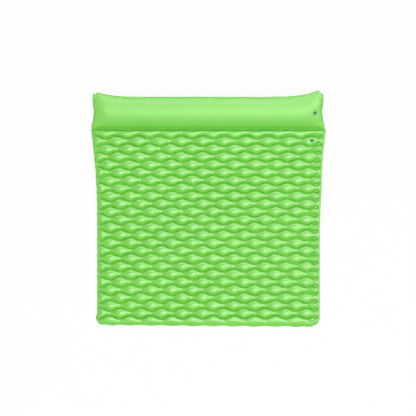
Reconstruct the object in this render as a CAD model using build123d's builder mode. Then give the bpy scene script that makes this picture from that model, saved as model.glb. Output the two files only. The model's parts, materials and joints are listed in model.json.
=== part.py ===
"""Inflatable double air mat with welded chambers, a fold-up pillow roll and two push-in valves.

X runs across the mat, Y from its foot to the pillow and Z up. The mat lies on the floor at Z 0, and the
origin is under the middle of its bounding box. Each body is two formed films that are welded together
around their edge, and the mat's films also along the lines between its chambers.
"""

import os
from math import asin, atan2, cos, hypot, sin, sqrt

from build123d import *

# ---- driving dimensions, in mm ----
foot_width = 1732.0  # across the straight lower part of the mat
side_flare = 49.0  # how far each side curves out from there to the fold
taper_length = 700.0  # from the fold to where the sides run straight
mat_length = 1533.0  # foot seam to the fold line
corner_r = 50.0  # plan radius of the mat's foot corners
film = 0.3  # thickness of one sheet
seam = 11.0  # width of the welded rim outside the air chambers

rows = 23  # full chambers between the first and the last weld line
first_weld = 60.0  # from the fold line to the first weld line
foot_margin = 68.0  # from the last weld line to the foot's rim
land = 6.0  # width of a weld line
chamber_rise = 27.0  # height of a chamber above the mat's middle plane
floor_flat = 0.5  # how far the chambers flatten where they lie on the floor
channel_r = 8.0  # inside radius of the channel that joins the chambers
channel_inset = 44.0  # from the straight side's rim to the channel's axis

fold_seam = 8.0  # from the fold line to the nearest chamber, on both bodies
strip_width = 7.0  # width of each welded strip at the fold
fold_gap = 0.6  # gap between the two strips, where the film hinges

pillow_inset = 27.0  # how far the pillow's ends stand in, at their middle, from the mat's corners
pillow_fold_flare = 17.0  # how far each end reaches out at the fold, from its middle
pillow_far_flare = 8.0  # how far each end reaches out at the far corners, from its middle
pillow_depth = 262.0  # fold line to the far rim at the middle, across the pillow
corner_reach = 49.5  # how much further from the fold line the far corners are
rim_curve = 8  # how suddenly the far rim turns out to the corners, as a power
pillow_rise = 65.0  # height of the pillow's chamber above its middle plane
pillow_taper = 120.0  # length over which each end of the pillow closes
ear_r = 26.0  # plan radius of the pillow's far corners
floor_clear = 0.6  # margin under the pillow, for its film's swell between sections

valve_inset = 106.0  # mat valve, in from the mat's corner at the fold
pillow_valve_inset = 59.0  # pillow valve, in from the pillow's end
pillow_valve_drop = 116.0  # pillow valve, back from the pillow's far rim
seat_r = 14.0  # flat round seat in the film under each valve
seat_sink = 4.0  # depth of the mat valve's seat under the chamber's crest
pillow_seat_sink = 1.6  # the same for the pillow valve

base_r = 13.0  # welded flange of the valve
base_t = 0.8
collar_wall = 1.4  # wall of the collar that guides the stem
collar_depth = 8.0  # how far the collar reaches into the chamber
stem_r = 7.0
bore_r = 4.5  # inside radius of the stem: the air way
stem_depth = 21.0  # stem below the seat when it is pushed in
lip_r = 9.5  # rim of the stem, which the plug closes
lip_t = 1.2
bead_t = 1.5  # ring that stops the stem from pulling out
stem_gap = 0.1  # clearance of the stem in its collar
plug_r = 9.5
plug_t = 2.4
spigot_depth = 8.0
plug_gap = 0.06  # clearance of the spigot in the stem
flap_t = 0.5
flap_pin_r = 0.5  # rolled edge that the check flap turns on
tether_width = 4.0
tether_t = 0.6
tether_reach = 3.6  # how far the closed tether's loop stands out from the rim

# ---- worked out ----
mat_mid = chamber_rise - floor_flat  # height of the mat's middle plane
row_pitch = (mat_length - first_weld - foot_margin) / rows
fold_width = foot_width + 2 * side_flare
taper_r = (taper_length**2 + side_flare**2) / (2 * side_flare)
pillow_width = fold_width - 2 * pillow_inset
pillow_fold_width = pillow_width + 2 * pillow_fold_flare
corner_depth = pillow_depth + corner_reach
valve_x = fold_width / 2 - valve_inset
pillow_valve_x = pillow_width / 2 - pillow_valve_inset
pillow_valve_v = pillow_depth - pillow_valve_drop
collar_r = stem_r + stem_gap + collar_wall


def arc_radius(half_chord, rise):
    return (half_chord**2 + rise**2) / (2 * rise)


def inner_half_chord(half_chord, rise, wall):
    """Half the chord, on the same line, of the arc that lies a wall inside another."""
    radius = arc_radius(half_chord, rise)
    return sqrt((radius - wall) ** 2 - (radius - rise) ** 2)


# ---- the pillow's shape in its own plane, x across and v away from the fold line ----
pillow_end = pillow_width / 2 - seam
corner_x = pillow_width / 2 + pillow_far_flare - ear_r


def far_rim(x):
    """Distance from the fold line to the pillow's far rim, which curves out to the corners."""
    return pillow_depth + (corner_depth - pillow_depth) * min(1.0, abs(x) / corner_x) ** rim_curve


def pillow_section(x):
    """(middle, half chord, rise) of the pillow's chamber at x."""
    close = min(1.0, (pillow_end - abs(x)) / pillow_taper)
    rise = 1.0 + (pillow_rise - 1.0) * sqrt(close * (2 - close))
    far = far_rim(x) - seam
    return (fold_seam + far) / 2, (far - fold_seam) / 2, rise


def pillow_height(x, v):
    """Height of the pillow's top film over its middle plane."""
    middle, half, rise = pillow_section(x)
    radius = arc_radius(half, rise)
    return rise - radius + sqrt(radius**2 - (v - middle) ** 2)


def tilt_to_floor(x):
    """How far the pillow leans back about the fold for its section at x to touch the floor."""
    middle, half, rise = pillow_section(x)
    radius = arc_radius(half, rise)
    above = radius - rise
    return asin((radius + floor_clear - mat_mid) / hypot(middle, above)) - atan2(above, middle)


tilt = max(tilt_to_floor(pillow_end * share / 20) for share in range(20))

# ---- where the bodies lie ----
length = mat_length + corner_depth * cos(tilt)
fold_y = mat_length - length / 2
foot_y = fold_y - mat_length
straight_y = fold_y - taper_length
mat_plane = Plane.XY.offset(mat_mid)
pillow_plane = Plane(origin=(0, fold_y, mat_mid), x_dir=(1, 0, 0), z_dir=(0, -sin(tilt), cos(tilt)))

# chambers as (middle, half width), from the fold to the foot; one more lies beyond each outer weld line
welds = [fold_y - first_weld - row_pitch * n for n in range(rows + 1)]
edges = [fold_y - fold_seam + land / 2, *welds, foot_y + seam - land / 2]
chambers = [((a + b) / 2, (a - b - land) / 2) for a, b in zip(edges, edges[1:])]
first_row_y = chambers[1][0]


def side_x(y, inset=0.0):
    """Half the width of the mat's plan at y, a margin inside its rim."""
    reach = max(0.0, y - straight_y)
    return foot_width / 2 + taper_r - sqrt((taper_r + inset) ** 2 - reach**2)


# ---- the mat's films ----
def mat_outline(inset, top):
    """The mat's plan outline, a margin inside its rim, from the foot up to y = top."""
    half, foot, radius = foot_width / 2 - inset, foot_y + inset, corner_r - inset
    with BuildLine() as outline:
        Line((0, foot), (half - radius, foot))
        RadiusArc((half - radius, foot), (half, foot + radius), -radius)
        Line((half, foot + radius), (half, straight_y))
        TangentArc((half, straight_y), (side_x(top, inset), top), tangent=(0, 1))
        Line((side_x(top, inset), top), (0, top))
        mirror(about=Plane.YZ)
    return outline.line


def dome_profile(middle, half, rise, wall, plane=Plane.XY):
    """Half a tube's section, or its air space when wall is the film, a little past the middle plane."""
    reach = inner_half_chord(half, rise, wall)
    with BuildSketch(plane) as profile:
        with BuildLine():
            Polyline((middle - reach, 0), (middle - reach, -film), (middle + reach, -film), (middle + reach, 0))
            ThreePointArc((middle + reach, 0), (middle, rise - wall), (middle - reach, 0))
        make_face()
    return profile.sketch


def mat_chambers(wall, flat):
    """The chambers above the middle plane: their outer shape, or their air space when wall is the film.

    Each chamber is half a tube, closed by a slope at both ends, and flat cuts its crest level.
    """
    with BuildPart() as tubes:
        with BuildSketch(Plane.YZ.offset(-fold_width / 2)):
            for middle, half in chambers:
                add(dome_profile(middle, half, min(chamber_rise, half * 0.98), wall))
        extrude(amount=fold_width)
        with BuildSketch(Plane.XZ.offset(-chambers[0][0])):
            with Locations((foot_width / 2 - channel_inset, 0)):
                Circle(channel_r + film - wall)
        extrude(amount=chambers[0][0] - chambers[-1][0])
    with BuildPart() as domes:
        with BuildSketch(Plane.XY.offset(-wall * sqrt(2))):
            add(mat_outline(seam, fold_y + chamber_rise + land))
            make_face()
        extrude(amount=chamber_rise - flat - wall + wall * sqrt(2), taper=45)
        add(tubes.part, mode=Mode.INTERSECT)
    return domes.part


def seat_recess(seat, wall):
    """What a valve's flat seat takes out of a film's outer shape, or out of its air space."""
    with BuildPart() as recess:
        with BuildSketch(seat.offset(-wall)):
            Circle(seat_r + wall)
        extrude(amount=3 * seat_r)
    return recess.part


def valve_hole(seat):
    with BuildPart() as hole:
        with BuildSketch(seat.offset(-seat_r)):
            Circle(collar_r)
        extrude(amount=2 * seat_r)
    return hole.part


def mat_film(flat, seat=None):
    """One formed film of the mat on the XY plane, chambers upwards, with a seat for its valve."""
    with BuildPart() as outer:
        add(mat_chambers(0, flat))
        if seat:
            add(seat_recess(seat, 0), mode=Mode.SUBTRACT)
    with BuildPart() as air:
        add(mat_chambers(film, flat))
        if seat:
            add(seat_recess(seat, film), mode=Mode.SUBTRACT)
    with BuildPart() as formed:
        with BuildSketch(Plane.XY):
            add(mat_outline(0, fold_y - strip_width))
            make_face()
        extrude(amount=film)
        add(outer.part)
        add(air.part, mode=Mode.SUBTRACT)
        if seat:
            add(valve_hole(seat), mode=Mode.SUBTRACT)
    return formed.part


# ---- the pillow's films ----
def pillow_outline():
    """The pillow's plan outline in its own plane, x across and y away from the fold line."""
    along = [corner_x * share for share in (0, 0.3, 0.6, 0.8, 0.92, 1)]
    with BuildLine() as outline:
        Spline(*[(x, far_rim(x)) for x in along], tangents=((1, 0), (1, 0)))
        RadiusArc((corner_x, corner_depth), (corner_x + ear_r, corner_depth - ear_r), ear_r)
        ThreePointArc(
            (corner_x + ear_r, corner_depth - ear_r),
            (pillow_width / 2, corner_depth / 2),
            (pillow_fold_width / 2, strip_width),
        )
        Line((pillow_fold_width / 2, strip_width), (0, strip_width))
        mirror(about=Plane.YZ)
    return outline.line


def pillow_chamber(wall):
    """The pillow's chamber above its middle plane: its outer shape, or its air space."""
    shares = (0, 0.05, 0.14, 0.27, 0.42, 0.6, 0.8, 1)
    half = [pillow_end - max(3 * wall, pillow_taper * share) for share in shares] + [pillow_end / 2]
    with BuildPart() as chamber:
        for x in [-x for x in half] + [0] + half[::-1]:
            middle, reach, rise = pillow_section(x)
            add(dome_profile(middle, reach, rise, wall, Plane.YZ.offset(x)))
        loft()
        if wall == 0:
            split(bisect_by=Plane.XY, keep=Keep.TOP)
    return chamber.part


def pillow_film(seat=None):
    """One film of the pillow on the XY plane, chamber upwards, with a seat for its valve."""
    with BuildPart() as outer:
        add(pillow_chamber(0))
        if seat:
            add(seat_recess(seat, 0), mode=Mode.SUBTRACT)
    with BuildPart() as air:
        add(pillow_chamber(film))
        if seat:
            add(seat_recess(seat, film), mode=Mode.SUBTRACT)
    with BuildPart() as formed:
        with BuildSketch(Plane.XY):
            add(pillow_outline())
            make_face()
        extrude(amount=film)
        add(outer.part)
        add(air.part, mode=Mode.SUBTRACT)
        if seat:
            add(valve_hole(seat), mode=Mode.SUBTRACT)
    return formed.part


def seat_plane(x, y, height, slope_x, slope_y, sink):
    """The plane of a valve's seat, sunk under a point of a film along its normal."""
    across = hypot(slope_x, slope_y, 1)
    normal = Vector(-slope_x / across, -slope_y / across, 1 / across)
    return Plane(origin=Vector(x, y, height) - normal * sink, x_dir=(1, 0, slope_x), z_dir=normal)


mat_seat = seat_plane(valve_x, first_row_y, chamber_rise, 0, 0, seat_sink)

step = 0.5
top = pillow_height(pillow_valve_x, pillow_valve_v)
slope_x = (pillow_height(pillow_valve_x + step, pillow_valve_v) - top) / step
slope_v = (pillow_height(pillow_valve_x, pillow_valve_v + step) - top) / step
pillow_seat = seat_plane(pillow_valve_x, pillow_valve_v, top, slope_x, slope_v, pillow_seat_sink)

with BuildPart() as mat_top_sheet:
    add(mat_film(0.0, mat_seat).moved(mat_plane.location))
with BuildPart() as mat_bottom_sheet:
    add(mirror(mat_film(floor_flat), about=Plane.XY, mode=Mode.PRIVATE).moved(mat_plane.location))
with BuildPart() as pillow_top_sheet:
    add(pillow_film(pillow_seat).moved(pillow_plane.location))
with BuildPart() as pillow_bottom_sheet:
    add(mirror(pillow_film(), about=Plane.XY, mode=Mode.PRIVATE).moved(pillow_plane.location))

# ---- the welded strips on both sides of the fold ----
with BuildPart() as mat_fold_strip:
    with BuildSketch(mat_plane.offset(-film)):
        with Locations((0, fold_y - fold_gap / 2)):
            Rectangle(2 * side_x(fold_y - strip_width), strip_width - fold_gap / 2, align=(Align.CENTER, Align.MAX))
    extrude(amount=2 * film)
with BuildPart() as pillow_fold_strip:
    with BuildSketch(pillow_plane.offset(-film)):
        with Locations((0, fold_gap / 2)):
            Rectangle(pillow_fold_width, strip_width - fold_gap / 2, align=(Align.CENTER, Align.MIN))
    extrude(amount=2 * film)


# ---- the valves ----
def turned(seat, *points):
    """A revolved ring about the seat's axis; the points are (radius, height over the seat)."""
    section = Plane(origin=seat.origin, x_dir=seat.x_dir, z_dir=-seat.y_dir)
    with BuildPart() as ring:
        with BuildSketch(section):
            with BuildLine():
                Polyline(*points, close=True)
            make_face()
        revolve(axis=Axis(seat.origin, seat.z_dir))
    return ring.part


def valve(name, seat):
    """Build and write the five pieces of one push-in valve, pushed in and closed."""
    foot = -stem_depth
    stem_hole = stem_r + stem_gap
    with BuildPart() as base:
        add(turned(seat, (stem_hole, -collar_depth), (collar_r, -collar_depth), (collar_r, 0),
                   (base_r, 0), (base_r, base_t), (stem_hole, base_t)))
    with BuildPart() as stem:
        lip = base_t + lip_t
        add(turned(seat, (bore_r, foot), (collar_r, foot), (collar_r, foot + bead_t), (stem_r, foot + bead_t),
                   (stem_r, base_t), (lip_r, base_t), (lip_r, lip), (bore_r, lip)))
    with BuildPart() as plug:
        spigot = bore_r - plug_gap
        add(turned(seat, (0, lip - spigot_depth), (spigot - 1, lip - spigot_depth), (spigot, lip - spigot_depth + 1),
                   (spigot, lip), (plug_r, lip), (plug_r, lip + plug_t - 0.6), (plug_r - 0.6, lip + plug_t),
                   (0, lip + plug_t)))
    with BuildPart() as flap:
        with BuildSketch(seat.offset(foot - flap_t)):
            Circle(bore_r + 1.6)
            with Locations((-bore_r - 1.2, 0)):
                Rectangle(2.4, 6)
        extrude(amount=flap_t)
        with BuildSketch(Plane(origin=seat.from_local_coords((-bore_r - 2.4, -3, foot - flap_pin_r)),
                               x_dir=seat.x_dir, z_dir=seat.y_dir)):
            Circle(flap_pin_r)
        extrude(amount=6)
    with BuildPart() as tether:
        low, high = base_t + lip_t / 2, lip + plug_t / 2
        bend = (high - low) / 2
        reach = lip_r + tether_reach - bend
        with BuildSketch(Plane(origin=seat.from_local_coords((0, tether_width / 2, 0)),
                               x_dir=seat.x_dir, z_dir=-seat.y_dir)):
            with BuildLine():
                Line((lip_r - 1, high), (reach, high))
                ThreePointArc((reach, high), (reach + bend, low + bend), (reach, low))
                Line((reach, low), (lip_r - 1, low))
                offset(amount=tether_t / 2, side=Side.BOTH)
            make_face()
        extrude(amount=tether_width)
        with BuildSketch(seat):
            Circle(lip_r)
        extrude(amount=4 * plug_t, mode=Mode.SUBTRACT)
    for kind, piece in (("base", base), ("stem", stem), ("plug", plug), ("flap", flap), ("tether", tether)):
        piece.part.label = f"{name}_valve_{kind}"
        export_step(piece.part, f"parts/{name}_valve_{kind}.step")


def placed(body, local):
    """A plane given in a body's own frame, where the body lies."""
    return Plane(body.location * local.location)


os.makedirs("parts", exist_ok=True)
valve("mat", placed(mat_plane, mat_seat))
valve("pillow", placed(pillow_plane, pillow_seat))

mat_top_sheet.part.label = "mat_top_sheet"
export_step(mat_top_sheet.part, "parts/mat_top_sheet.step")
mat_bottom_sheet.part.label = "mat_bottom_sheet"
export_step(mat_bottom_sheet.part, "parts/mat_bottom_sheet.step")
mat_fold_strip.part.label = "mat_fold_strip"
export_step(mat_fold_strip.part, "parts/mat_fold_strip.step")
pillow_top_sheet.part.label = "pillow_top_sheet"
export_step(pillow_top_sheet.part, "parts/pillow_top_sheet.step")
pillow_bottom_sheet.part.label = "pillow_bottom_sheet"
export_step(pillow_bottom_sheet.part, "parts/pillow_bottom_sheet.step")
pillow_fold_strip.part.label = "pillow_fold_strip"
export_step(pillow_fold_strip.part, "parts/pillow_fold_strip.step")
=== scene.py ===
"""Looks of the inflatable double air mat: the formed films, the fold, the valves, the light and the camera.

The films of the CAD model are replaced by modelled films with the real wavy weld lines. Sizes are in metres,
and places come from the frame.
"""

import json
import math

import bpy
import numpy as np
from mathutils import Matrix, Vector


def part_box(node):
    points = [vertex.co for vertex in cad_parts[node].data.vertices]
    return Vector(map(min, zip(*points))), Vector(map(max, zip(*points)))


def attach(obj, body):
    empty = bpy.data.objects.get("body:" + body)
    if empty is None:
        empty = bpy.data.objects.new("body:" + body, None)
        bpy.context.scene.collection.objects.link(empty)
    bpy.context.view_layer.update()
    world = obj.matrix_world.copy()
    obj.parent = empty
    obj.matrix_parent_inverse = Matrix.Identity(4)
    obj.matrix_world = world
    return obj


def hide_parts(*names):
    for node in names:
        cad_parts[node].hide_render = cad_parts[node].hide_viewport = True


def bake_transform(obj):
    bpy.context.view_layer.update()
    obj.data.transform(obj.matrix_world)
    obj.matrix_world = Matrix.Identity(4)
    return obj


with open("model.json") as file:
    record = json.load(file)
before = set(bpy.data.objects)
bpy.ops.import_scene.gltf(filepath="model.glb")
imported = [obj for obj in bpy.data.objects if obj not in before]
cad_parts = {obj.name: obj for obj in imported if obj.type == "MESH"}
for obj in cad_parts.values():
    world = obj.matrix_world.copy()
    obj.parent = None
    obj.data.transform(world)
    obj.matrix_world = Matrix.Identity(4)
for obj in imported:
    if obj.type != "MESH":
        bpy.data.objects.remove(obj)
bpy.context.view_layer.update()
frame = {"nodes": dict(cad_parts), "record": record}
rng = np.random.default_rng(7)
MM = 0.001

# ---- the frame's places ----
JOINTS = {joint["name"]: joint for joint in frame["record"]["behaviour"]["joints"]}
FOLD_Y, MAT_MID = JOINTS["pillow_fold"]["pos_m"][1:]
FOOT_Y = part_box("mat_top_sheet")[0][1]
STRIP = 6.7 * MM  # the CAD fold strips' width and thickness
STRIP_T = 0.6 * MM

# ---- the mat ----
FILM = 0.3 * MM
FOOT_HALF = 866 * MM  # half the width of the mat's straight part
FOLD_HALF = 915 * MM  # half its width at the fold
TAPER = 700 * MM  # from the fold to where the sides run straight
RIGHT_REACH = 8 * MM  # how much further out the film reaches on the right side
BULGE = 8 * MM  # and how much more where the right side is fullest
BULGE_AT = 490 * MM  # from the fold
BULGE_SPREAD = 170 * MM
LOBE = 10 * MM  # a small lobe on the left side, beside the foot corner
LOBE_AT = 62 * MM  # from the foot
LOBE_SPREAD = 26 * MM
CORNER_LEFT = 56 * MM  # radius of each foot corner
CORNER_RIGHT = 62.72 * MM
FOOT_SLOPE = 7 * MM  # how much longer the mat is along its right side than in the middle
FOLD_SEAM = 8 * MM  # from the fold line to the nearest chamber

SEAM = 11 * MM  # welded rim
RIM_OUT = 6 * MM  # how far out from the side seam the rim's paler edge starts
RIM_WELD = 0.3  # its weld strength
DROOP = 3.5 * MM  # how far the outer edge of the welded rim hangs down
SCALLOP = 2.2 * MM  # how far the rim is drawn in beside each chamber

ROWS = 23
CHAMBER_STEPS = 16  # rows of points over each chamber
FIRST_WELD = 60 * MM  # from the fold line
LAST_WELD = 1465 * MM
LAND = 5 * MM  # width of a weld line
WELD_END = 10 * MM  # about how much wider a weld line is at the dots that end it
WELD_END_SPREAD = 7 * MM
LENS = 160.5 * MM  # length of one lens-shaped chamber
LENSES = 40  # more than there are in any row
LENS_VARY = 0.035  # how much their heights vary
LENS_SKEW = 0.03  # and how far their crests lie off the middle of the row
WAVE = 12.5 * MM  # how far a weld line swings each way
CALM = 0.85  # how much of its swing a weld line has lost at its right end
CALM_FROM = 75 * MM  # from the right edge
CALM_TO = 40 * MM

CREST = 28 * MM  # height of a chamber over the middle plane
NECK = 10 * MM  # the same where two lenses of a row meet
ROUND = 0.54  # power that gives the chambers their round section
# rows of chambers: power that draws the crest toward the fold, least height, and swell of each lens
INNER_ROW = (1, 0, 1)
HEAD_ROW = (0.75, 0.5, 0.35)
FOOT_ROW = (0.7, 0.35, 0.6)
END_PUCKERS = 0.35  # share of the puckers that the head and foot rows keep
PUCKER = 0.035  # height of the puckers, as a share of the chamber's
PUCKER_PITCH = 15 * MM
CLOSE_LEFT = 42 * MM  # from each side seam to where the chambers are full
CLOSE_RIGHT = 28 * MM
RIPPLE_LEFT = 0.65 * MM  # least depth, about, of the cross ripples beside each side seam
RIPPLE_RIGHT = 3.0 * MM

CHANNEL_LEFT = 14 * MM  # width of the air channel inside each side seam
CHANNEL_RIGHT = 17 * MM
CHANNEL_RISE = 8 * MM
CHANNEL_BLEND = 4 * MM
SHADE_DOT_IN = 13 * MM  # painted shade: round dark dots where the weld lines end, standing for the shade in the creases there; distance in from the side seams
SHADE_DOT_SIZE = (9 * MM, 8 * MM)
BLISTER_IN = 31 * MM  # the pressed ring round a small blister at each weld line's right end: the same
BLISTER_SIZE = (18 * MM, 13 * MM)
BLISTER_RISE = 7 * MM
BLISTER_RING_SHADE = 0.4  # how dark the painted shade on the pressed ring is

# ---- the pillow ----
PILLOW_HALF = 888 * MM
PILLOW_FOLD_HALF = 916 * MM
PILLOW_DEPTH = 262 * MM
PILLOW_RISE = 65 * MM
PILLOW_TAPER = 108 * MM
PILLOW_ROWS = 61
PILLOW_FLARE = 2.2  # the sides flare toward the fold over 1 / 2.2 of the depth
EAR_X = 850 * MM  # where each ear reaches furthest
EAR_LEFT = 35 * MM  # how far the ears reach beyond the rim's middle
EAR_RIGHT = 53 * MM
EAR_SHOULDER = 22 * MM  # the same at the side seams
EAR_NOTCH = 6 * MM  # depth of the notch in each ear, its distance beyond EAR_X, and its spread
NOTCH_OUT = 19 * MM
NOTCH_SPREAD = 7 * MM
EAR_FLAT = 0.42  # how much of its height the roll has lost at the ears
EAR_SPREAD = 48 * MM
CREASE_LEFT = 3.5 * MM  # depth of the crease that runs in from each ear's notch
CREASE_RIGHT = 2.0 * MM
CREASE_SLOPE = 0.62  # how far in from the side it runs for each step away from the far seam
CREASE_IN = 4 * MM  # where it starts
CREASE_WIDE = 9 * MM
CREASE_LONG = 85 * MM
# wrinkles beside each seam: their height, and the distance over which they fade
WRINKLE_LEFT = (2.3 * MM, 26 * MM)
WRINKLE_RIGHT = (3.4 * MM, 36 * MM)
WRINKLE_FAR = (1.5 * MM, 24 * MM)
WRINKLE_FOLD = (1.3 * MM, 20 * MM)
SWELL = 0.5 * MM  # height of the slow swell over the whole film

# ---- the valves' seats ----
FLANGE_T = 0.8 * MM  # thickness of a valve's flange
FLANGE_RIM = 12 * MM  # beyond this radius lie the points of the flange's edge
SEAT_HOLE = 8.5 * MM  # radius of the hole in the film under a valve
SEAT_FLAT = 14.5 * MM  # radius of the flat film round a valve
SEAT_FADE = 30 * MM  # radius at which the film is back in its own shape
SEAT_REACH = 40 * MM  # only film this near the seat's plane is moved
GATHER = 0.4  # share of its way to the middle that the grid is drawn in at the seat
GATHER_FULL = 10 * MM
GATHER_FADE = 45 * MM
SEAT_WELD = 0.8  # weld strength of the film round a valve


def smooth(low, high, value):
    """0 below low, 1 above high, and a smooth step between them."""
    share = np.clip((value - low) / (high - low), 0, 1)
    return share * share * (3 - 2 * share)


def soft_max(a, b, width):
    """The larger of two heights, with a rounded join."""
    mix = np.clip(0.5 + 0.5 * (a - b) / width, 0, 1)
    return b + (a - b) * mix + width * mix * (1 - mix) * 0.5


def hump(offset, spread):
    """A smooth hump, 1 at no offset and near 0 beyond twice the spread."""
    return np.exp(-((offset / spread) ** 2))


def spaced(count):
    """Shares from 0 to 1 that lie closer together near both ends."""
    return 0.5 - 0.5 * np.cos(np.linspace(0, math.pi, count))


def strip_tilt():
    """How far the pillow leans back, from the box of its fold strip."""
    low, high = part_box("pillow_fold_strip")
    along, up = high[1] - low[1], high[2] - low[2]
    return math.atan2(STRIP * up - STRIP_T * along, STRIP * along - STRIP_T * up)


TILT = strip_tilt()


def seat_of(name):
    """(middle, normal) of a valve's seat, from the top face of its CAD base."""
    base = frame["nodes"][f"{name}_valve_base"]
    normal = np.array(JOINTS[f"{name}_stem_pull"]["axis"])
    points = np.array([v.co for v in base.data.vertices])
    height = points @ normal
    top = points[height > height.max() - 1e-5]
    rim = top[np.linalg.norm(top - top.mean(axis=0), axis=1) > FLANGE_RIM]
    return (rim.min(axis=0) + rim.max(axis=0)) / 2 - normal * FLANGE_T, normal


# ---- mesh helpers ----
def grid_faces(rows, columns):
    """Quads of a grid of points stored row by row."""
    first = (np.arange(rows - 1)[:, None] * columns + np.arange(columns - 1)).ravel()
    return np.stack([first, first + 1, first + columns + 1, first + columns], axis=1)


def film_mesh(name, points, weld, flip, holes=()):
    """A film of welded vinyl from a grid of points, with its weld strength, which also carries painted
    shade, as an attribute.
    """
    rows, columns = points.shape[:2]
    flat = points.reshape(-1, 3)
    faces = grid_faces(rows, columns)
    for middle, normal, radius in holes:
        centres = flat[faces].mean(axis=1) - middle
        off_axis = np.linalg.norm(centres - np.outer(centres @ normal, normal), axis=1)
        keep = (off_axis > radius) | (np.abs(centres @ normal) > 3 * radius)
        faces = faces[keep]
    if flip:
        faces = faces[:, ::-1]
    mesh = bpy.data.meshes.new(name)
    mesh.from_pydata(flat.tolist(), [], faces.tolist())
    mesh.attributes.new("weld", "FLOAT", "POINT").data.foreach_set("value", weld.ravel().astype(np.float32))
    mesh.shade_smooth()
    piece = bpy.data.objects.new(name, mesh)
    bpy.context.scene.collection.objects.link(piece)
    return piece


# ---- the mat's films ----
def side_half(y):
    """Half the width of the mat's plan at y, without its rounded foot corners."""
    reach = np.maximum(0, y - (FOLD_Y - TAPER))
    flare = FOLD_HALF - FOOT_HALF
    radius = (TAPER**2 + flare**2) / (2 * flare)
    return FOOT_HALF + radius - np.sqrt(radius**2 - reach**2)


def mat_half(y, side):
    """Half the width of the film at y: the right side reaches further out, and the left has a lobe."""
    bulge = BULGE * hump(y - FOLD_Y + BULGE_AT, BULGE_SPREAD)
    lobe = LOBE * hump(y - FOOT_Y - LOBE_AT, LOBE_SPREAD)
    return side_half(y) + np.where(side < 0, lobe, RIGHT_REACH + bulge)


def corner_cut(y, radius):
    """How much a rounded foot corner takes off the half width at y."""
    into = np.clip(FOOT_Y + radius - y, 0, radius)
    return radius - np.sqrt(radius**2 - into**2)


def mat_columns():
    """Where the columns of the mat's grid stand, on the straight part, from side to side."""
    seam = FOOT_HALF - SEAM
    rim = [FOOT_HALF, FOOT_HALF - 4 * MM, FOOT_HALF - 8 * MM, seam + 0.8 * MM]
    inward = [0, 1, 2.5, 4.5, 7, 10, 13, 16, 19, 22, 25, 28, 31, 34, 38, 42, 46, 50, 55, 60]
    side = list(seam - np.array(inward) * MM)
    half = rim + side
    step = LENS / 18
    first = math.ceil((-side[-1] + 3 * MM + LENS / 4) / step)
    last = math.floor((side[-1] - 3 * MM + LENS / 4) / step)
    middle = np.arange(first, last + 1) * step - LENS / 4  # one column stands on every neck
    return np.concatenate([-np.array(half), middle, half[::-1]])


def weld_lines(across):
    """The y of each weld line at the given columns, from the fold to the foot."""
    calm = 1 - CALM * smooth(FOOT_HALF - CALM_FROM, FOOT_HALF - CALM_TO, across)
    swing = WAVE * np.cos(2 * math.pi * (across + LENS / 4) / LENS) * calm
    pitch = (LAST_WELD - FIRST_WELD) / ROWS
    lines = [np.full_like(across, FOLD_Y - FOLD_SEAM)]
    for n in range(ROWS + 1):
        lines.append(FOLD_Y - FIRST_WELD - pitch * n + swing * (-1) ** n)
    lines.append(np.full_like(across, FOOT_Y + SEAM))
    return lines


def wobble(at, pitch):
    """Smooth random numbers of about unit size along a line, with a new one at every pitch."""
    place = (np.asarray(at) - np.min(at)) / pitch
    knots = rng.normal(0, 1, int(place.max()) + 3)
    low = place.astype(int)
    share = place - low
    share = share * share * (3 - 2 * share)
    return knots[low] * (1 - share) + knots[low + 1] * share


def channel_tube(edge, width):
    """Height of the air channel's round section, at distances in from the side seam."""
    offset = (edge - width / 2) / (width / 2)
    return np.sqrt(np.clip(1 - offset**2, 0, 1)) * CHANNEL_RISE


def side_shapes(edge, side):
    """Shapes near the side seams: air channel, closing chambers, wider weld lines and cross ripples."""
    width = np.where(side > 0, CHANNEL_RIGHT, CHANNEL_LEFT)
    inside = np.clip(edge / np.where(side > 0, CLOSE_RIGHT, CLOSE_LEFT), 0, 1)
    closing = np.sqrt(inside * (2 - inside))
    weld_end = hump(edge - width, WELD_END_SPREAD)
    near_end = smooth(80 * MM, 40 * MM, edge) * smooth(8 * MM, 22 * MM, edge)
    return channel_tube(edge, width), closing, weld_end, near_end


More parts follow.
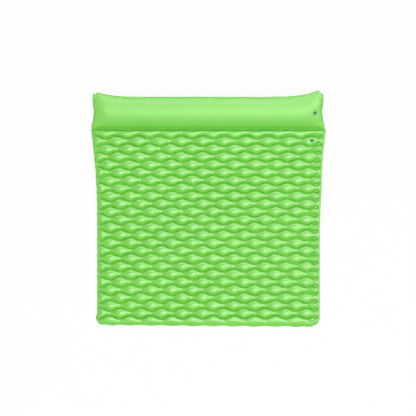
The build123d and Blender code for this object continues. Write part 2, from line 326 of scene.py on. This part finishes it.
def chamber_rows(across, lines):
    """Rows of points of the mat's grid, from the fold to the foot.

    Each is (y, height, weld strength, how far inside a chamber).
    """
    side = np.sign(across)
    edge = FOOT_HALF - SEAM - np.abs(across)  # distance in from the side seam
    lens_phase = 2 * math.pi * (across + LENS / 4) / LENS
    tube, closing, weld_end, near_end = side_shapes(edge, side)
    ripple_depth = np.array([RIPPLE_LEFT, RIPPLE_RIGHT])
    on_right = (side > 0).astype(int)
    foot_slope = -FOOT_SLOPE * across / FOOT_HALF
    foot_wave = 0.25 * (lines[1] - lines[1].mean()) + 1.0 * MM * wobble(across, 40 * MM)
    rows = []

    def flat_row(y):
        rows.append((y, np.zeros_like(across), np.ones_like(across), np.zeros_like(across)))

    flat_row(np.full_like(across, FOLD_Y - FOLD_SEAM * 0.4))
    for n, (upper, lower) in enumerate(zip(lines, lines[1:])):
        first, last = n == 0, n == len(lines) - 2
        lean, least, swelling = HEAD_ROW if first else FOOT_ROW if last else INNER_ROW
        land = LAND / 2 + WELD_END / 2 * weld_end * rng.uniform(0.6, 1.3)
        high = upper - (0 if first else land)
        low = lower + (foot_slope if last else land)
        phase = lens_phase + math.pi * (n + 1)  # 0 at the middle of each lens of this row
        wide = np.abs(np.cos(phase / 2))
        lens = np.clip(((phase + math.pi) // (2 * math.pi)).astype(int) + 12, 0, LENSES - 1)
        size = 1 + rng.normal(0, LENS_VARY, LENSES)[lens]
        skew = rng.normal(0, LENS_SKEW, LENSES)[lens]
        crest = NECK + (CREST - NECK) * (least + swelling * wide**1.2 * size)
        # the film puckers where the weld lines bend
        puckers = (0.5 + wide) * (END_PUCKERS if first or last else 1)
        gather_up = wobble(across, PUCKER_PITCH) * puckers
        gather_down = wobble(across, PUCKER_PITCH) * puckers
        crossings = rng.uniform(2.2, 3.2, 2)
        offsets = rng.uniform(0, 2 * math.pi, 2)
        depth = rng.uniform(0.8, 1.7, 2) * ripple_depth
        for share in spaced(CHAMBER_STEPS):
            q = 2 * share**lean - 1 + skew * wide
            arch = np.maximum(0, 1 - q * q) ** ROUND if 0 < share < 1 else np.zeros_like(across)
            pucker = gather_up * (1 - share) ** 3 + gather_down * share**3
            body = crest * arch * closing * (1 + PUCKER * pucker)
            turns = share * crossings[on_right] * 2 * math.pi + offsets[on_right]
            body = body + np.sin(turns) * depth[on_right] * near_end * np.sqrt(arch)
            channel = tube * (0.4 + 0.6 * math.sin(math.pi * share))
            height = np.where(edge <= 0, 0, soft_max(body, channel, CHANNEL_BLEND))
            chamber = np.full_like(across, math.sin(math.pi * share))
            # the weld strength rises over each chamber's flanks toward the weld lines, so their darker tint
            # is partly painted shade in the valleys
            rows.append((high + (low - high) * share, height, 1 - np.sqrt(arch), chamber))
    flat_row(low - SEAM * 0.5 + foot_wave * 0.5)
    flat_row(low - SEAM * 0.8 + foot_wave)
    flat_row(low - SEAM + foot_wave)
    return rows


def mat_surface():
    """The mat's top film over its middle plane: grid of points, weld strength with painted shade, and the
    rim's droop.
    """
    across = mat_columns()
    lines = weld_lines(across)
    side = np.sign(across)
    edge = FOOT_HALF - SEAM - np.abs(across)
    y, height, weld, chamber = (np.array(part) for part in zip(*chamber_rows(across, lines)))
    weld[:, edge <= 0] = 1
    weld[:, edge <= -RIM_OUT] = RIM_WELD

    x = across * mat_half(y, side) / FOOT_HALF
    near_side = smooth(FOOT_HALF * 0.8, FOOT_HALF, np.abs(across))
    x = x - side * near_side * corner_cut(y, np.where(side > 0, CORNER_RIGHT, CORNER_LEFT))
    at_rim = smooth(30 * MM, -SEAM, edge)
    x = x - side * at_rim * (SCALLOP * chamber + 0.7 * MM * wobble(y[:, 0], 21 * MM)[:, None])

    spot = weld_ends(x, y, side, lines, BLISTER_IN, *BLISTER_SIZE, 0.95) * (side > 0)
    pressed, blister = smooth(0.15, 0.45, spot), smooth(0.6, 0.9, spot)
    height = height * (1 - pressed) + BLISTER_RISE * blister
    weld = np.maximum(np.clip(weld, 0, 1), pressed) * (1 - blister)
    # painted shade: dark dots at the weld lines' ends, stronger on the right, and on the pressed rings round
    # the blisters
    painted_shade_dots = weld_ends(x, y, side, lines, SHADE_DOT_IN, *SHADE_DOT_SIZE) * np.where(side > 0, 1.0, 0.6)
    painted_shade_dots = np.maximum(painted_shade_dots, BLISTER_RING_SHADE * pressed) * (1 - blister)
    weld = weld + painted_shade_dots * (2 - weld)  # from 1 to 2 the weld strength carries painted shade, which darkens the film at the dots and pressed rings
    droop = DROOP * np.maximum(smooth(0, -SEAM, edge), smooth(SEAM, 0, y - y.min(axis=0)))
    return np.stack([x, y, height], axis=2), weld, droop


def weld_ends(x, y, side, lines, inset, wide, high, least=0.6):
    """Strength, 0 to 1, of a small oval spot on both ends of every weld line, inset from the side seams."""
    strength = np.zeros_like(x)
    for sign in (-1, 1):
        column = np.argmin(np.abs(sign * x[0] - x[0].max() + SEAM + inset))
        for line in lines[1:-1]:
            middle_y = line[column] + rng.normal(0, 1.5) * MM
            middle_x = sign * (mat_half(middle_y, sign) - SEAM - inset) + rng.normal(0, 2) * MM
            away = ((x - middle_x) / wide) ** 2 + ((y - middle_y) / high) ** 2
            strength = strength + rng.uniform(least, 1.0) * np.exp(-away) * (side == sign)
    return np.minimum(strength, 1)


def sink_seat(points, middle, normal):
    """Flattens the film onto a valve's seat, and gives its weld ring's strength there as well.

    The grid is gathered round the seat, so that the hole's edge stays under the flange.
    """
    offset = points - middle
    height = offset @ normal
    level = offset - height[..., None] * normal
    radial = np.linalg.norm(level, axis=2)
    near = np.abs(height) < SEAT_REACH
    pull = GATHER * smooth(GATHER_FADE, GATHER_FULL, radial) * near
    hold = smooth(SEAT_FADE, SEAT_FLAT, radial * (1 - pull)) * near
    return points - (hold * height)[..., None] * normal - pull[..., None] * level, SEAT_WELD * hold


def coarser(count, kept):
    """Every second place of a row, with all the places near its two ends."""
    inner = range(kept, count - kept, 2)
    return [*range(kept), *inner, *range(count - kept, count)]


def thicken(piece, thickness=FILM):
    """Gives a film its real thickness."""
    solid = piece.modifiers.new("film", "SOLIDIFY")
    solid.thickness = thickness
    solid.offset = 0


def mat_films():
    """The mat's top and bottom film, which ride on the mat."""
    surface, weld, droop = mat_surface()
    middle, normal = seat_of("mat")
    upper = surface + np.array([0, 0, MAT_MID + FILM / 2])
    upper[..., 2] -= droop
    upper, ring = sink_seat(upper, middle - normal * FILM / 2, normal)
    hole = (middle, normal, SEAT_HOLE)
    top = film_mesh("mat_top_film", upper, np.maximum(weld, ring), True, [hole])
    lower = surface * np.array([1, 1, -1]) + np.array([0, 0, MAT_MID - FILM / 2])
    lower[..., 2] = np.maximum(lower[..., 2] - droop, FILM)
    rows, columns = coarser(lower.shape[0], 6), coarser(lower.shape[1], 26)
    bottom = film_mesh("mat_bottom_film", lower[rows][:, columns], weld[rows][:, columns], False)
    for piece in (top, bottom):
        thicken(piece)
        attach(piece, "mat")
    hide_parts("mat_top_sheet")
    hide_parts("mat_bottom_sheet")
    return top, bottom


# ---- the pillow's films ----
def to_pillow(x, v, height):
    """Points of the pillow's own plane (across, from the fold, over the plane) in the frame."""
    y = FOLD_Y + v * math.cos(TILT) - height * math.sin(TILT)
    z = MAT_MID + v * math.sin(TILT) + height * math.cos(TILT)
    return np.stack(np.broadcast_arrays(x, y, z), axis=2)


def pillow_columns():
    """Where the columns of the pillow's grid stand, from side to side, as distances across."""
    seam = PILLOW_HALF - SEAM
    rim = [PILLOW_HALF, PILLOW_HALF - 5 * MM, seam + 1.5 * MM]
    inward = [0, 1, 2.5, 4.5, 7, 10, 13, 17, 21, 25, 29, 34, 39, 45, 51, 57, 63, 70, 77, 84]
    side = list(seam - np.array(inward) * MM)
    half = np.array(rim + side)
    middle = np.linspace(-side[-1] + 7 * MM, side[-1] - 7 * MM, 227)
    return np.concatenate([-half, middle, half[::-1]])


def pillow_far_rim(across):
    """Distance from the fold to the far rim, which runs out to an ear with a notch at each corner."""
    reach = np.where(across > 0, EAR_RIGHT, EAR_LEFT)
    out = np.abs(across)
    rim = PILLOW_DEPTH + reach * np.minimum(1, out / EAR_X) ** 8
    rim = rim - (reach - EAR_SHOULDER) * smooth(EAR_X, PILLOW_HALF + 4 * MM, out)
    return rim - EAR_NOTCH * hump(out - EAR_X - NOTCH_OUT, NOTCH_SPREAD) + 0.8 * MM * wobble(across, 60 * MM)


def pillow_arch(v, high, edge, side):
    """Height of the pillow's roll, which is lower at its ends and its two ears."""
    inside = np.clip(edge / PILLOW_TAPER, 0, 1)
    rise = np.maximum(PILLOW_RISE * np.sqrt(inside * (2 - inside)), 1e-6)
    half = (high - FOLD_SEAM) / 2
    middle = (high + FOLD_SEAM) / 2
    radius = (half**2 + rise**2) / (2 * rise)
    arch = rise - radius + np.sqrt(np.maximum(radius**2 - (v - middle) ** 2, 0))
    from_far = high - v
    corner = np.hypot(np.maximum(edge, 0), from_far)
    arch = arch * (1 - EAR_FLAT * hump(corner, EAR_SPREAD))
    off_crease = np.maximum(edge, 0) - from_far * CREASE_SLOPE - CREASE_IN
    crease = hump(off_crease, CREASE_WIDE) * hump(corner, CREASE_LONG) * smooth(0, 14 * MM, corner)
    return arch - np.where(side < 0, CREASE_LEFT, CREASE_RIGHT) * crease


def gathered(pattern, high, fade, away, clear):
    """Wrinkles beside a seam: they rise within the clear distance from it, and fade further away."""
    return high * pattern * np.exp(-away / fade) * smooth(0, clear, away)


def pillow_wrinkles(across, v, high, edge, side):
    """Height of the film's wrinkles: gathered along every seam, with a slow swell over the whole."""
    along = spaced(PILLOW_ROWS) * 280
    left = wobble(along, 13)[:, None]
    right = wobble(along, 13)[:, None]
    at_far = wobble(across, 19 * MM)
    at_fold = wobble(across, 26 * MM)
    phases = rng.uniform(0, 2 * math.pi, 6)
    from_far, from_fold = high - v, v - FOLD_SEAM
    strong = np.where(side < 0, WRINKLE_LEFT[0], WRINKLE_RIGHT[0])
    fade = np.where(side < 0, WRINKLE_LEFT[1], WRINKLE_RIGHT[1])
    gather = gathered(np.where(side < 0, left, right), strong, fade, edge, 12 * MM)
    gather = gather + gathered(at_far, *WRINKLE_FAR, from_far, 10 * MM)
    gather = gather + gathered(at_fold, *WRINKLE_FOLD, from_fold, 10 * MM)
    swell = np.sin(across * 9 + phases[0]) * np.sin(v * 21 + phases[1])
    swell = swell + 0.7 * np.sin(across * 23 + phases[2] + v * 11) * np.sin(v * 34 + phases[3])
    return gather + SWELL * swell


def pillow_surface():
    """Grid of the pillow's film in its own plane: across, from the fold, height, and weld strength."""
    across = pillow_columns()
    side = np.sign(across)
    edge = PILLOW_HALF - SEAM - np.abs(across)
    high = pillow_far_rim(across) - SEAM
    body = FOLD_SEAM + (high - FOLD_SEAM) * spaced(PILLOW_ROWS)[:, None]
    arch = pillow_arch(body, high, edge, side)
    bulk = arch + pillow_wrinkles(across, body, high, edge, side) * smooth(0, 14 * MM, arch)
    bulk = np.where(edge <= 0, 0, np.maximum(bulk, 0))
    fold_rows = [np.full_like(across, FOLD_SEAM * share) for share in (0.4, 0.8)]
    far_rows = [high + SEAM * share for share in (0.3, 0.65, 1)]
    v = np.vstack([*fold_rows, body, *far_rows])
    height = np.zeros_like(v)
    weld = np.ones_like(v)
    inner = slice(len(fold_rows), -len(far_rows))
    height[inner] = bulk
    weld[inner] = np.where(edge <= 0, 1.0, 0.0)

    sway = v / PILLOW_DEPTH
    width = PILLOW_HALF + (PILLOW_FOLD_HALF - PILLOW_HALF) * np.clip(1 - PILLOW_FLARE * sway, 0, 1)
    width = width + 7 * MM * hump(sway - 0.86, 0.2) - 1 * MM
    x = across * width / PILLOW_HALF
    at_rim = smooth(24 * MM, -SEAM, edge)
    x = x - side * at_rim * 1.3 * MM * wobble(v[:, len(across) // 2], 24 * MM)[:, None]
    return x, v, height, weld


def pillow_films():
    """The pillow's top and bottom film, which ride on the pillow."""
    x, v, height, weld = pillow_surface()
    middle, normal = seat_of("pillow")
    upper, ring = sink_seat(to_pillow(x, v, height + FILM / 2), middle - normal * FILM / 2, normal)
    hole = (middle, normal, SEAT_HOLE)
    top = film_mesh("pillow_top_film", upper, np.maximum(weld, ring), False, [hole])
    lower = to_pillow(x, v, -height - FILM / 2)
    lower[..., 2] = np.maximum(lower[..., 2], FILM)
    bottom = film_mesh("pillow_bottom_film", lower, weld, True)
    for piece in (top, bottom):
        thicken(piece)
        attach(piece, "pillow")
    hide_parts("pillow_top_sheet")
    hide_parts("pillow_bottom_sheet")
    return top, bottom


# ---- the web over the fold ----
WEB_HALF = FOLD_HALF - 7 * MM  # half its length along the fold
WEB_SHIFT = 2 * MM  # toward the right side, which reaches further out
WEB_REACH = 9 * MM  # how far it goes on each side of the fold line
WEB_SAG = 1.7 * MM
WEB_T = 1.1 * MM


def fold_web():
    """The welded strip between mat and pillow, laid over the fold."""
    across = np.linspace(-1, 1, 141) * WEB_HALF + WEB_SHIFT
    points = []
    for step in np.linspace(-WEB_REACH, WEB_REACH, 13):
        sag = WEB_SAG * (1 - (step / WEB_REACH) ** 2)
        lift = 0.5 * MM * np.sin(across * 47 + 1.3) * math.cos(step * 170) - sag
        if step < 0:
            level = np.full_like(across, FOLD_Y + step)
            points.append(np.stack([across, level, MAT_MID + lift], axis=1))
        else:
            points.append(to_pillow(across[None], step, lift[None])[0])
    points = np.array(points)
    web = film_mesh("fold_web", points, np.ones(points.shape[:2]), False)
    thicken(web, WEB_T)
    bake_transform(web)
    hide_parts("mat_fold_strip", "pillow_fold_strip")
    return web


# ---- the valves' tethers ----
STRAP_LOW = 1.4 * MM  # heights of the strap's ends over the seat: on the stem, and on the plug
STRAP_HIGH = 3.2 * MM
STRAP_IN = 8.8 * MM  # distances out from the valve's axis: its ends, just past the rims, and its bend
STRAP_FREE = 10 * MM
STRAP_OUT = 13.1 * MM
STRAP_HALF = 2 * MM
STRAP_T = 0.6 * MM


def strap_line():
    """The strap's path as (out from the axis, up from the seat), from the plug round to the stem."""
    bend = (STRAP_HIGH - STRAP_LOW) / 2
    reach = STRAP_OUT - bend
    line = [(STRAP_IN, STRAP_HIGH), (STRAP_FREE, STRAP_HIGH), (reach, STRAP_HIGH)]
    for turn in np.linspace(0, math.pi, 9)[1:-1]:
        line.append((reach + bend * math.sin(turn), STRAP_HIGH - bend + bend * math.cos(turn)))
    return line + [(reach, STRAP_LOW), (STRAP_FREE, STRAP_LOW), (STRAP_IN, STRAP_LOW)]


def tether(name):
    """The little strap that keeps a plug on its stem."""
    middle, normal = seat_of(name)
    points = np.array([v.co for v in frame["nodes"][f"{name}_valve_tether"].data.vertices])
    outward = points.mean(axis=0) - middle
    outward -= normal * (outward @ normal)
    outward /= np.linalg.norm(outward)
    sideways = np.cross(normal, outward)
    line = strap_line()
    grid = []
    for side in np.linspace(-1, 1, 5) * STRAP_HALF:
        grid.append([middle + outward * out + normal * up + sideways * side for out, up in line])
    strap = film_mesh(f"{name}_tether_strap", np.array(grid), np.zeros((5, len(line))), False)
    thicken(strap, STRAP_T)
    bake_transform(strap)
    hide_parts(f"{name}_valve_tether")
    return strap


# ---- materials ----
GREEN = (0.172, 0.620, 0.042)
PALE_GREEN = (0.188, 0.645, 0.052)
DEEP_GREEN = (0.150, 0.615, 0.030)
# the weld lines' own darker tint, which doubles as painted shade in the valleys
WELD_AND_SHADE_GREEN = (0.115, 0.590, 0.020)
# painted shade of the dots and pressed rings at the weld lines' ends
PAINTED_SHADE_GREEN = (0.045, 0.330, 0.012)
VALVE_BLUE = (0.022, 0.150, 0.180)
PALE_VALVE_BLUE = (0.034, 0.185, 0.205)


class Nodes:
    """Short ways to add and join shader nodes."""

    def __init__(self, tree):
        self.tree = tree

    def add(self, kind, **settings):
        node = self.tree.nodes.new(kind)
        for key, value in settings.items():
            setattr(node, key, value)
        return node

    def join(self, source, target):
        self.tree.links.new(source, target)

    def spread(self, value, low, high, to_low, to_high):
        """A value carried over from one range to another."""
        spread = self.add("ShaderNodeMapRange")
        for key, number in (("From Min", low), ("From Max", high), ("To Min", to_low), ("To Max", to_high)):
            spread.inputs[key].default_value = number
        self.join(value, spread.inputs["Value"])
        return spread.outputs["Result"]

    def mix(self, share, first, second):
        """A colour between two others; each is a socket or a colour."""
        mix = self.add("ShaderNodeMix", data_type="RGBA")
        self.feed(share, mix.inputs[0])
        self.feed(first, mix.inputs[6])
        self.feed(second, mix.inputs[7])
        return mix.outputs[2]

    def maths(self, operation, first, second):
        node = self.add("ShaderNodeMath", operation=operation)
        self.feed(first, node.inputs[0])
        self.feed(second, node.inputs[1])
        return node.outputs[0]

    def feed(self, value, target):
        """Joins a socket to an input, or sets the input to a number or a colour."""
        if isinstance(value, bpy.types.NodeSocket):
            self.join(value, target)
        elif isinstance(value, (int, float)):
            target.default_value = value
        else:
            target.default_value = (*value, 1)

    def backdrop_ray(self):
        """1 on the rays that see the plain backdrop: from the camera, and by gloss or through glass."""
        path = self.add("ShaderNodeLightPath")
        seen = self.maths("MAXIMUM", path.outputs["Is Camera Ray"], path.outputs["Is Glossy Ray"])
        return self.maths("MAXIMUM", seen, path.outputs["Is Transmission Ray"])


class Surface(Nodes):
    """The nodes of a new material, placed by the object's own coordinates."""

    def __init__(self, name):
        self.material = bpy.data.materials.new(name)
        self.material.use_nodes = True
        super().__init__(self.material.node_tree)
        self.shader = self.tree.nodes["Principled BSDF"]
        self.object_place = self.add("ShaderNodeTexCoord").outputs["Object"]

    def noise(self, scale, detail, roughness=0.5, stretch=(1, 1, 1)):
        place = self.add("ShaderNodeMapping")
        place.inputs["Scale"].default_value = stretch
        self.join(self.object_place, place.inputs["Vector"])
        noise = self.add("ShaderNodeTexNoise")
        noise.inputs["Scale"].default_value = scale
        noise.inputs["Detail"].default_value = detail
        noise.inputs["Roughness"].default_value = roughness
        self.join(place.outputs["Vector"], noise.inputs["Vector"])
        return noise.outputs["Fac"]

    def bump(self, height, distance, strength=1.0):
        bump = self.add("ShaderNodeBump")
        bump.inputs["Strength"].default_value = strength
        bump.inputs["Distance"].default_value = distance
        self.join(height, bump.inputs["Height"])
        self.join(bump.outputs["Normal"], self.shader.inputs["Normal"])


def vinyl_material(name, dull, ior):
    """Soft glossy green film: a little cloudy, with duller, darker weld lines, whose darkening is partly
    painted shade toward the valleys, and painted shade at their ends.
    """
    n = Surface(name)
    weld = n.add("ShaderNodeAttribute", attribute_name="weld").outputs["Fac"]
    cloud = n.noise(2.2, 2.0)
    fine = n.noise(60.0, 3.0)
    body = n.mix(n.spread(cloud, 0.3, 0.7, 0.0, 1.0), GREEN, PALE_GREEN)
    body = n.mix(n.spread(fine, 0.35, 0.65, 0.0, 0.12), body, DEEP_GREEN)
    # the weld lines' darker tint: partly their own colour, partly painted shade that deepens toward the
    # valleys
    colour = n.mix(n.spread(weld, 0, 1, 0, 0.55), body, WELD_AND_SHADE_GREEN)
    # painted shade at the dots and pressed rings
    colour = n.mix(n.spread(weld, 1, 2, 0, 1), colour, PAINTED_SHADE_GREEN)
    n.join(colour, n.shader.inputs["Base Color"])
    rough = n.spread(n.noise(35.0, 4.0), 0.3, 0.7, 0.27 + dull, 0.35 + dull)
    n.join(n.maths("ADD", rough, n.maths("MULTIPLY", weld, 0.25)), n.shader.inputs["Roughness"])
    n.shader.inputs["IOR"].default_value = ior
    n.join(n.spread(weld, 0, 1, 0.8, 0.2), n.shader.inputs["Coat Weight"])
    n.shader.inputs["Coat Roughness"].default_value = 0.15 + dull
    n.shader.inputs["Coat IOR"].default_value = ior
    pebble = n.noise(900.0, 2.0)
    ripple = n.noise(28.0, 2.0, 0.4, (1, 1.6, 1))
    height = n.maths("ADD", n.maths("MULTIPLY", pebble, 0.006), n.maths("MULTIPLY", ripple, 0.22))
    n.bump(height, 0.9 * MM)
    return n.material


def valve_material():
    """Blue-green vinyl of the valves, moulded and matt."""
    n = Surface("valve_vinyl_moulded")
    cloud = n.noise(160.0, 3.0)
    colour = n.mix(n.spread(cloud, 0.3, 0.7, 0, 1), VALVE_BLUE, PALE_VALVE_BLUE)
    n.join(colour, n.shader.inputs["Base Color"])
    n.join(n.spread(n.noise(500.0, 2.0), 0.3, 0.7, 0.48, 0.60), n.shader.inputs["Roughness"])
    n.shader.inputs["IOR"].default_value = 1.46
    n.bump(n.noise(1400.0, 2.0), 0.05 * MM, 0.6)
    return n.material


def paint(piece, material):
    piece.data.materials.clear()
    piece.data.materials.append(material)


# ---- floor, light and camera ----
FLOOR_HALF = 30
FLOOR_WHITE = (0.94, 0.94, 0.94)
PALE_FLOOR_WHITE = (0.96, 0.96, 0.96)
BACKDROP = 0.9  # how much of the floor's look is plain white; the rest keeps the shadow
SKY = 0.77  # light from all round; the camera and reflections see it white
# lights: name, place, point it faces, width and height, watts
SOFTBOX = ("softbox", (1.2, -3.2, 9.5), (0, 0, 0), (6.6, 6.5), 265)
# the cards show in the film's gloss alone
CARDS = (
    ("strip_card", (2.0, 0.2, 9.0), (2.0, 0, 0), (9.0, 1.6), 250),
    ("top_card", (2.4, -0.4, 9.9), (1.2, 0, 0), (20.0, 6.0), 490),
    ("far_card", (1.2, 8.8, 6.2), (0, 0, 0), (16.0, 6.0), 900),
    ("side_card", (8.6, 0.3, 6.0), (0.5, 0, 0), (10.0, 8.5), 560),
)
CAMERA_LENS = 133
CAMERA_Y = 6 * MM
VIEW_WIDTH = 3.245  # width of the picture at the mat's middle plane
CAMERA_END = 100


def floor():
    """A pale floor that looks plain white and keeps the object's shadow."""
    mesh = bpy.data.meshes.new("floor")
    half = FLOOR_HALF
    corners = [(-half, -half, 0), (half, -half, 0), (half, half, 0), (-half, half, 0)]
    mesh.from_pydata(corners, [], [(0, 1, 2, 3)])
    plane = bpy.data.objects.new("floor", mesh)
    bpy.context.scene.collection.objects.link(plane)
    n = Surface("pale_floor")
    colour = n.mix(n.spread(n.noise(3.0, 2.0), 0.3, 0.7, 0, 1), FLOOR_WHITE, PALE_FLOOR_WHITE)
    n.join(colour, n.shader.inputs["Base Color"])
    n.shader.inputs["Roughness"].default_value = 0.9
    n.shader.inputs["Specular IOR Level"].default_value = 0.0
    glow = n.add("ShaderNodeEmission")
    blend = n.add("ShaderNodeMixShader")
    n.join(n.maths("MULTIPLY", n.backdrop_ray(), BACKDROP), blend.inputs[0])
    n.join(n.shader.outputs[0], blend.inputs[1])
    n.join(glow.outputs[0], blend.inputs[2])
    n.join(blend.outputs[0], n.tree.nodes["Material Output"].inputs["Surface"])
    plane.data.materials.append(n.material)


def lamp(name, place, aim, size, power):
    """A rectangular soft light that looks at a point."""
    light = bpy.data.lights.new(name, "AREA")
    light.shape = "RECTANGLE"
    light.size, light.size_y = size
    light.energy = power
    holder = bpy.data.objects.new(name, light)
    holder.location = place
    away = Vector(np.array(place) - np.array(aim))
    holder.rotation_mode = "QUATERNION"
    holder.rotation_quaternion = away.to_track_quat("Z", "Y")
    holder.visible_camera = False
    bpy.context.scene.collection.objects.link(holder)
    return holder


def studio():
    """A white world, one soft light from the foot side, and the cards."""
    world = bpy.data.worlds.new("studio")
    bpy.context.scene.world = world
    world.use_nodes = True
    n = Nodes(world.node_tree)
    sky = n.tree.nodes["Background"]
    sky.inputs["Color"].default_value = (1, 1, 1, 1)
    n.join(n.spread(n.backdrop_ray(), 0, 1, SKY, 1), sky.inputs["Strength"])
    lamp(*SOFTBOX)
    for card in CARDS:
        lamp(*card).visible_diffuse = False


def camera():
    """Looks straight down on the mat."""
    scene = bpy.context.scene
    data = bpy.data.cameras.new("camera")
    data.lens = CAMERA_LENS
    data.clip_end = CAMERA_END
    holder = bpy.data.objects.new("camera", data)
    holder.location = (0, CAMERA_Y, data.lens / data.sensor_width * VIEW_WIDTH + MAT_MID)
    scene.collection.objects.link(holder)
    scene.camera = holder


# ---- the whole scene ----
taut = vinyl_material("green_vinyl_taut", dull=0, ior=1.5)
soft = vinyl_material("green_vinyl_soft", dull=0.3, ior=1.58)
moulded = valve_material()
for pieces, material in (((*mat_films(), fold_web()), taut), (pillow_films(), soft)):
    for piece in pieces:
        paint(piece, material)
for name in ("mat", "pillow"):
    strap = tether(name)
    paint(strap, moulded)
    for kind in ("base", "stem", "plug", "flap"):
        node = frame["nodes"][f"{name}_valve_{kind}"]
        for place in node.material_slots:
            place.material = moulded
floor()
studio()
camera()

bpy.context.scene.view_settings.view_transform = "Standard"
